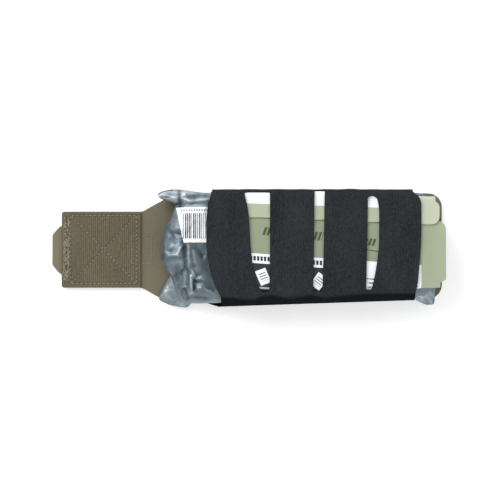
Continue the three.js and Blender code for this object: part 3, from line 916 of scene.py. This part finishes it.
def hem_stitching(material):
    """A zigzag row along each hem, on the carrier's back."""
    count, half_width = 52, 1.1
    for side in ("upper", "lower"):
        low, high = span(side + "_hem_thread")
        middle = (low[1] + high[1]) / 2
        swing = [(low[0] + (high[0] - low[0]) * k / count, middle + half_width * (-1) ** k)
                 for k in range(count + 1)]
        seam = walk(swing, 3.4)
        piece = stitches(side + "_hem_zigzag", seam, 0.12, 2.6, material, thread=0.4, facing=-1)
        place(piece, "carrier", "black_thread", side + "_hem_thread")


# ---------------------------------------------------------------- vacuum-packed pouch


def pouch_left(y):
    """X of the pouch's left edge: a bulging middle, a notch above it, and a lobe at the upper corner."""
    corner = [(-37, -42), (-34, -47), (-26, -50.5), (-19, -52.8)]
    bulge = [(-13.5, -57.0), (-8, -59.3), (0, -59.4), (8, -57.9), (17, -54.5), (24, -51.5)]
    notch = [(29, -50.2), (31.2, -55)]
    lobe = [(33.4, -60.6), (35.6, -61.4), (37.4, -59), (39, -52)]
    return curve(corner + bulge + notch + lobe, y)


def pouch_right(y):
    return POUCH_HIGH[0] - 1.5 - 9 * (1 - round_off(38 - np.abs(y), 14))


def pouch_low(x):
    return lower_wall(x) + 1.6 + 1.7 * smooth(-30, -60, x)


def pouch_high(x):
    return 37.3 + 2.6 * smooth(-28, -50, x)


DOME_RIM = [(-58.0, -1.6), (-53.5, -5.0), (-48.4, -4.6), (-44.8, 1.6)]

# The folds at the pouch's bare end: both ends (x, y), width, and height, which is negative in a valley.
FOLDS = [
    ((-43.6, 3), (-43.4, -18), 2.4, -2.2),
    ((-43.4, -18), (-41.2, -33), 2.6, -2.2),
    ((-41.0, 4), (-40.4, -12), 1.3, 1.5),
    ((-39.2, -19), (-38.2, -30), 1.7, 2.2),
    ((-38.6, -15), (-35.6, -21), 0.9, 1.8),
    ((-35.6, -21), (-31.2, -20.2), 0.9, 1.7),
    ((-36.0, -21), (-37.2, -28), 1.2, -1.9),
    ((-52, -17), (-45, -34), 2.0, 1.8),
    ((-49, -14), (-47, -30), 2.0, -1.6),
    ((-33, -27), (-24, -29.5), 1.8, 1.9),
    ((-38, -32), (-24, -34), 1.6, -1.4),
    ((-47.0, 38), (-46.6, 28), 1.7, -2.4),
    ((-58, 35.5), (-48, 33.0), 1.3, 1.3),
    ((-52, 37), (-36, 36.2), 1.2, 1.0),
    ((-40, 30.8), (-22, 32.6), 1.0, 1.2),
    ((-44, 33.6), (-26, 34.4), 1.2, -1.0),
    ((-55.5, 14), (-49.5, 4), 1.6, -1.2),
    ((-51.5, 10), (-45.5, 9), 1.2, -1.2),
    ((-36, 0), (-31, -6), 1.5, -1.1),
    ((-37, -3), (-34, -14), 2.2, 1.0),
    ((-57, 3), (-56, -6), 1.2, 0.8),
    ((-44, -20), (-40, -31), 1.2, 1.2),
]


def film_folds(x, y):
    """The larger folds and creases of the film, listed one by one at the bare end and at random elsewhere.
    """
    bare = smooth(-22, -30, x)
    dome = 1.3 * np.exp(-(((x + 50.5) / 6.0) ** 2 + ((y - 0.5) / 5.5) ** 2) ** 1.4)
    folds = dome + sum(ridge(x, y, start, end, 0.9, 1.1) for start, end in zip(DOME_RIM, DOME_RIM[1:]))
    for start, end, width, height in FOLDS:
        folds = folds + ridge(x, y, start, end, width, height)
    random = 0.8 * waves(x, y, 13, 1.0) + 0.16 * waves(x, y, 5, 2.0)
    creases = 0.5 * crinkle(x, y, 10, 0.6) - 0.5 * crinkle(x, y, 16, 2.3)
    return 0.95 * bare * folds + (0.35 + 0.65 * bare) * (random + creases)


def relief_painted_light(z, reach, gain):
    """A print map whose first number is 0 in a crease, 1 on a ridge, and a half on smooth film: painted
    shade and painted highlights for the film's colour.
    """
    soft = z
    for axis in (0, 1):
        padded = np.pad(soft, [(reach, reach) if axis == k else (0, 0) for k in (0, 1)], mode="edge")
        count = soft.shape[axis]
        shifts = range(2 * reach + 1)
        soft = sum(np.take(padded, np.arange(k, k + count), axis) for k in shifts) / len(shifts)
    tone = np.clip(0.46 + gain * (z - soft), 0, 1)
    return np.stack([tone, np.zeros_like(tone)], axis=-1)


def film_seam(x):
    """Height of the seam where the front and back films meet."""
    return 9.5 + 3.0 * smooth(-50, -20, x)


def film_top(x, y):
    """Height of the pouch's front film."""
    seam = film_seam(x)
    full = POUCH_HIGH[2] - 1.0 - seam
    left = round_off(x - pouch_left(y), 25, 2.3)
    right = round_off(pouch_right(y) - x, 22, 2.2)
    low = round_off(y - pouch_low(x), 15, 2.6)
    high = round_off(pouch_high(x) - y, 15, 2.6)
    body = left * right * low * high
    height = seam + full * body + film_folds(x, y) * np.minimum(1, body * 1.6)
    inside = round_off(x - ROLL_LOW[0] + 5, 6) * round_off(ROLL_HIGH[0] + 5 - x, 6)
    filled = (ROLL_HIGH[2] + 0.5 - seam) * inside * (np.abs(y) < ROLL_HIGH[1] + 1)
    return np.clip(height, np.where(inside > 0, seam + filled * 0.97, seam), POUCH_HIGH[2] - 0.15)


def film_bottom(x, y):
    """Height of the pouch's back film."""
    seam = film_seam(x)
    full = seam - POUCH_LOW[2] - 0.3
    left = round_off(x - pouch_left(y), 17, 2.2)
    right = round_off(pouch_right(y) - x, 18, 2.2)
    low = round_off(y - pouch_low(x), 12, 2.4)
    high = round_off(pouch_high(x) - y, 12, 2.4)
    body = left * right * low * high
    return np.maximum(seam - full * body + 0.5 * waves(x, y, 8, 6.0) * body, POUCH_LOW[2] + 0.05)


def pouch(material):
    u = (0.5 - 0.5 * np.cos(np.linspace(0, math.pi, 210)))[None, :]
    v = (0.5 - 0.5 * np.cos(np.linspace(0, math.pi, 110)))[:, None]
    rough_y = -37 + 76 * v
    x = pouch_left(rough_y) * (1 - u) + pouch_right(rough_y) * u
    y = pouch_low(x) * (1 - v) + pouch_high(x) * v
    edge = np.minimum(np.minimum(u, 1 - u), np.minimum(v, 1 - v)) <= 0
    seam = film_seam(x)
    top = stack(x, y, np.where(edge, seam, film_top(x, y)))
    bottom = stack(x, y, np.where(edge, seam, film_bottom(x, y)))
    # Painted light and shade from each film's creases and ridges; the front film's upper corner at the bare
    # end gets painted light, and the rest of the front film is painted a little darker.
    painted_light_tones = [relief_painted_light(side[..., 2], 3, 0.45) for side in (top, bottom)]
    painted_lit_upper_corner = smooth(27, 33, y) * smooth(-22, -32, x)
    painted_light_tones[0][..., 0] += 0.30 * painted_lit_upper_corner - 0.14
    patches = [patch(top, painted_light_tones[0]), patch(bottom[::-1], painted_light_tones[1][::-1])]
    piece = sheet_piece("dressing_pouch_film", patches, 0, [material])
    return place(piece, "dressing", "grey_film", "pouch_front_film", "pouch_back_film")


def film_margin(name, corners, inner, heights, material, seed):
    """A corner of the pouch's sealed margin: a flat, crumpled tongue of film between two edges.
    corners run along its free edge, inner along the edge it grows from, heights are (free, inner)."""
    t = np.linspace(0, 1, 46)
    place_on = [curve([(k / (len(line) - 1), point[axis]) for k, point in enumerate(line)], t)
                for line in (corners, inner) for axis in (0, 1)]
    s = np.linspace(0, 1, 26)[:, None]
    x = place_on[0] * (1 - s) + place_on[2] * s
    y = place_on[1] * (1 - s) + place_on[3] * s
    z = heights[0] * (1 - s) + heights[1] * s
    loose = np.sin(math.pi * np.clip(s + 0.15, 0, 1))
    z = z + (0.9 * waves(x, y, 6, seed) + 0.45 * crinkle(x, y, 9, seed)) * loose
    points = stack(x, y, z)
    # Painted light and shade from the margin's creases and ridges, lifted a little lighter throughout.
    piece = sheet_piece(name, [patch(points, relief_painted_light(z, 3, 0.5) + [0.12, 0])], 0.35, [material])
    return place(piece, "dressing", "grey_film")


def pouch_label(material):
    u = np.linspace(0, 1, 60)[None, :]
    v = np.linspace(0, 1, 50)[:, None]
    low, tall, low_left, skew, right = 3.3, 23.6, -44.0, 5.1, -23.0
    y = low + tall * v
    x = (low_left - skew * v) * (1 - u) + right * u
    z = film_top(x, y) + 0.22
    points = stack(x, y, z)
    piece = sheet_piece("pouch_bar_label", [patch(points)], 0.18, [material], offset=1.0)
    return place(piece, "dressing", "label", "pouch_label")


# ---------------------------------------------------------------- folded packet

FOLD_DRIFT = math.tan(math.radians(4.1))  # the lower flap's print runs down towards the open end
EDGE_DRIFT = math.tan(math.radians(1.9))  # and the upper flap's edge runs down less


def packet(upper_material, lower_material, back_material):
    """One foil envelope, gate-folded lengthwise: a back, a lower flap, and an upper flap over its edge."""
    left, low_z, high_z = PACKET_LOW[0], PACKET_LOW[2], PACKET_HIGH[2]
    middle = (low_z + high_z) / 2
    share = np.linspace(0, 1, 120)[None, :]
    columns = 0.5 * share + 0.5 * (0.5 - 0.5 * np.cos(math.pi * share))

    def fold_low(x):
        return -30.6 + 3.8 * smooth(60, 125, x)

    def fold_high(x):
        return 36.7 - 3.4 * smooth(80, 120, x)

    radius = (high_z - low_z) / 2 - 0.3
    right = 125.5
    nominal = left + (right - left) * columns

    def flap(free_edge, foot, right_edge, lift, rows, seed):
        """From the fold's foot (share 0) to the free edge (share 1)."""
        v = np.linspace(0, 1, rows)[:, None]
        y0 = foot(nominal)
        edge_y = free_edge(nominal)
        y = y0 * (1 - v) + edge_y * v
        end = right_edge(v, y[:, -1:])
        xs = left + (end - left) * columns
        free = smooth(0, 0.5, v)
        ends = 1 - 0.55 * smooth(left + 9, left, xs) - 0.45 * smooth(112, 124, xs)
        z = middle + radius * ends + lift(xs, y) * free + 0.22 * waves(xs, y, 15, seed) * free
        return stack(xs, y, z)

    def lower_right(v, y):
        corner = 7.5 * (1 - round_off((1 - v) * 44, 7.5))
        notch = 4.4 * smooth(-21.6, -24.2, y) + 10.5 * smooth(-26.8, -28.6, y)
        return 129.6 - corner - notch

    def upper_right(v, y):
        return 125.4 - 5.5 * (1 - round_off((1 - v) * 16, 6)) - 4.5 * (1 - round_off(v * 16 + 0.4, 5))

    def lower_free(x):
        return 23.4 - EDGE_DRIFT * x - 1.2 * smooth(90, 116, x)

    def upper_free(x):
        return 19.3 - EDGE_DRIFT * x * 1.05 + 0.3 * np.sin(x / 7.0)

    def lower_lift(x, y):
        tucked = smooth(14, 21, y + EDGE_DRIFT * x)
        return 0.25 - 1.0 * tucked - 0.5 * smooth(112, 126, x)

    def upper_lift(x, y):
        return 0.25 + 0.15 * smooth(24, 19, y + EDGE_DRIFT * x) - 0.3 * smooth(112, 126, x)

    lower = flap(lower_free, lambda x: fold_low(x) + radius, lower_right, lower_lift, 60, 3.0)
    upper = flap(upper_free, lambda x: fold_high(x) - radius, upper_right, upper_lift, 26, 5.0)

    def print_marks(part, drift):
        """The print map of a part whose print runs down by this drift."""
        return np.stack([part[..., 0], part[..., 1] + drift * part[..., 0]], axis=-1)

    # Round each fold and across the back, from the lower flap's foot to the upper flap's.
    turn = np.linspace(math.pi / 2, 3 * math.pi / 2, 15)[:, None]
    low_x, high_x = lower[0, :, 0], upper[0, :, 0]
    low_ease, high_ease = [(flap_grid[0, :, 2] - middle) / radius for flap_grid in (lower, upper)]
    low_y = fold_low(nominal) + radius + radius * np.cos(turn)
    low_rows = stack(low_x, low_y, middle + radius * low_ease * np.sin(turn))
    high_y = fold_high(nominal) - radius - radius * np.cos(turn)
    high_rows = stack(high_x, high_y, middle + radius * high_ease * np.sin(turn))[::-1]
    across = np.linspace(0, 1, 24)[:, None, None]
    flat_rows = low_rows[-1] * (1 - across) + high_rows[0] * across
    body = (low_rows, flat_rows, high_rows)
    patches = [patch(part[::-1], print_marks(part[::-1], FOLD_DRIFT), material=k)
               for part, k in zip(body, (1, 2, 0))]
    patches += [
        patch(lower, print_marks(lower, FOLD_DRIFT), material=1),
        patch(upper[::-1], print_marks(upper[::-1], EDGE_DRIFT), material=0),
    ]
    materials = [upper_material, lower_material, back_material]
    piece = sheet_piece("seal_packet_foil", patches, 0.35, materials)
    # The blank's runs across it, each with its length: both flaps, the back, and what goes round the folds.
    upper_run, lower_run, back_run, fold_run = 14.2, 50.8, 61, TURN * radius
    runs = ((lower_run, 148), (upper_run, 144), (back_run, 140), (fold_run, 141))
    around, long = upper_run + lower_run + fold_run + back_run, 150
    area = sum(run * wide for run, wide in runs)
    flat, cut = (around * MM, long * MM), area * MM * MM
    return place(piece, "seal_pack", "sage_foil", "packet_outer_film")


def rounded_slab(name, low, high, corner, material, body, slot, node, swell=0.5):
    """A soft flat pad with rounded corners and edges, filling a box."""
    x = low[0] + (high[0] - low[0]) * (0.5 - 0.5 * np.cos(np.linspace(0, math.pi, 90)))
    ends = np.minimum(x - low[0], high[0] - x)
    half = (high[1] - low[1]) / 2 - corner * (1 - round_off(ends, corner))
    y = (high[1] + low[1]) / 2 + half * np.sin(np.linspace(-math.pi / 2, math.pi / 2, 50))[:, None]
    middle, thick = (high[2] + low[2]) / 2, (high[2] - low[2]) / 2
    inward = np.minimum(half - np.abs(y - (high[1] + low[1]) / 2), ends)
    full = thick * (1 - swell + swell * round_off(inward, 2 * thick)) * (1 + 0.06 * waves(x, y, 18, low[2]))
    piece = slab_piece(name, stack(x, y, middle + full), stack(x, y, middle - full), [material])
    stack(x, y, middle)
    return place(piece, body, slot, node)


def packet_contents(foil, gel):
    """The inner foil, and the two folded seals between it and the outer foil."""
    left, low_z, high_z = PACKET_LOW[0], PACKET_LOW[2], PACKET_HIGH[2]
    rounded_slab("seal_packet_lining", (left + 4, -25.5, low_z + 3.0), (108, 29.5, low_z + 3.5), 4, foil,
                 "seal_pack", "sage_foil", "packet_inner_film")
    rounded_slab("chest_seal_pad_1", (left + 7, -24, low_z + 1.0), (104, 28, low_z + 2.7), 9, gel,
                 "seal_pack", "seal_gel", "chest_seal_1")
    rounded_slab("chest_seal_pad_2", (left + 7, -23, low_z + 3.8), (104, 13, low_z + 5.3), 9, gel,
                 "seal_pack", "seal_gel", "chest_seal_2")


# ---------------------------------------------------------------- what stays from the frame


def finish_inner_nodes(gauze, moulded):
    finishes = {
        "bandage_roll": gauze,
        "absorbent_pad": gauze,
        "closure_bar": moulded,
    }
    for node, material in finishes.items():
        piece = frame["nodes"][node]
        piece.data.materials.clear()
        piece.data.materials.append(material)


# ---------------------------------------------------------------- stage


def floor():
    side = 4.0
    mesh = bpy.data.meshes.new("floor")
    corners = [(-side, -side, 0), (side, -side, 0), (side, side, 0), (-side, side, 0)]
    mesh.from_pydata(corners, [], [(0, 1, 2, 3)])
    plane = bpy.data.objects.new("floor", mesh)
    plane.location.z = -0.0004
    bpy.context.scene.collection.objects.link(plane)
    look = Look("floor_white", 0.9, Emission_Color=(1, 1, 1, 1), Emission_Strength=0.3)
    mesh.materials.append(look.finish(look.tone(FLOOR_WHITE, 0.01, look.noise(400))))


def area_light(name, place_at, size, power, aim=(0, 0, 0)):
    light = bpy.data.lights.new(name, "AREA")
    light.size = size
    light.energy = power
    lamp = bpy.data.objects.new(name, light)
    lamp.location = place_at
    lamp.rotation_mode = "QUATERNION"
    lamp.rotation_quaternion = (Vector(aim) - Vector(place_at)).to_track_quat("-Z", "Y")
    bpy.context.scene.collection.objects.link(lamp)


def studio():
    floor()
    area_light("key", (-1.1, 1.0, 1.3), 1.6, 36)
    area_light("fill", (0.8, -1.2, 1.4), 1.8, 16)
    world = bpy.data.worlds.new("studio")
    world.use_nodes = True
    tree = world.node_tree
    sky = tree.nodes["Background"]
    sky.inputs[1].default_value = 0.78
    direction = tree.nodes.new("ShaderNodeTexCoord")
    parts = tree.nodes.new("ShaderNodeSeparateXYZ")
    ramp = tree.nodes.new("ShaderNodeValToRGB")
    ramp.color_ramp.elements[0].position = 0.35
    ramp.color_ramp.elements[0].color = (1, 1, 1, 1)
    ramp.color_ramp.elements[1].position = 0.97
    ramp.color_ramp.elements[1].color = (0.34, 0.35, 0.36, 1)
    tree.links.new(direction.outputs["Generated"], parts.inputs[0])
    tree.links.new(parts.outputs[2], ramp.inputs[0])
    tree.links.new(ramp.outputs[0], sky.inputs[0])
    bpy.context.scene.world = world
    bpy.context.scene.view_settings.view_transform = "Standard"


def camera():
    """Almost straight down, a touch from the -Y side, with a long lens."""
    elevation, distance = math.radians(86), 3.0
    view_width = 0.334
    data = bpy.data.cameras.new("camera")
    data.sensor_width = 36
    data.lens = 36 * distance / view_width
    eye = bpy.data.objects.new("camera", data)
    target = Vector((0, 0, 0))
    back = Vector((0, -math.cos(elevation), math.sin(elevation)))
    eye.location = target + back * distance
    eye.rotation_mode = "QUATERNION"
    eye.rotation_quaternion = (-back).to_track_quat("-Z", "Y")
    bpy.context.scene.collection.objects.link(eye)
    bpy.context.scene.camera = eye


camera()
studio()

laminate = cloth_look("laminate_olive", LAMINATE, 0.95, 0.78)
laminate_smooth = cloth_look("laminate_olive_smooth", LAMINATE_SMOOTH, 0.6, 0.7, spread=0.05, depth=0.04)
olive_thread = thread_look("thread_olive", THREAD_OLIVE)
black_thread = thread_look("thread_black", THREAD_BLACK)
film = film_look()

webbing(cloth_look("webbing_olive", LAMINATE, 1.2, 0.85, spread=0.2, depth=0.15))
pouch(film)
film_margin(
    "pouch_margin_left",
    [(-53.2, -17.5), (-60.6, -32.4), (-56, -35.9), (-51.4, -37.4), (-42.8, -38.6), (-39.4, -36.2)],
    [(-50.5, -15.5), (-50.2, -22), (-48, -27), (-45.5, -30), (-42, -32.5), (-38, -34)],
    (4.2, 10.5), film, 4.0,
)
film_margin(
    "pouch_margin_right",
    [(124.0, -21.5), (123.4, -28), (122.2, -36.6), (118.0, -37.0), (110.5, -33.8)],
    [(118.0, -20), (114, -23), (110, -26), (107, -27), (104, -28)],
    (7.0, 15.0), film, 9.0,
)
pouch_label(label_look())
foil_back = plain_foil_look()
packet(upper_flap_look(), lower_flap_look(), foil_back)
packet_contents(foil_back, gel_look())
elastic(elastic_look())
hem_stitching(black_thread)
carrier_sheet(laminate)
tongue(laminate_smooth)
hook_tape(hook_look())
tab_stitching(olive_thread)
finish_inner_nodes(gauze_look(), moulded_look())
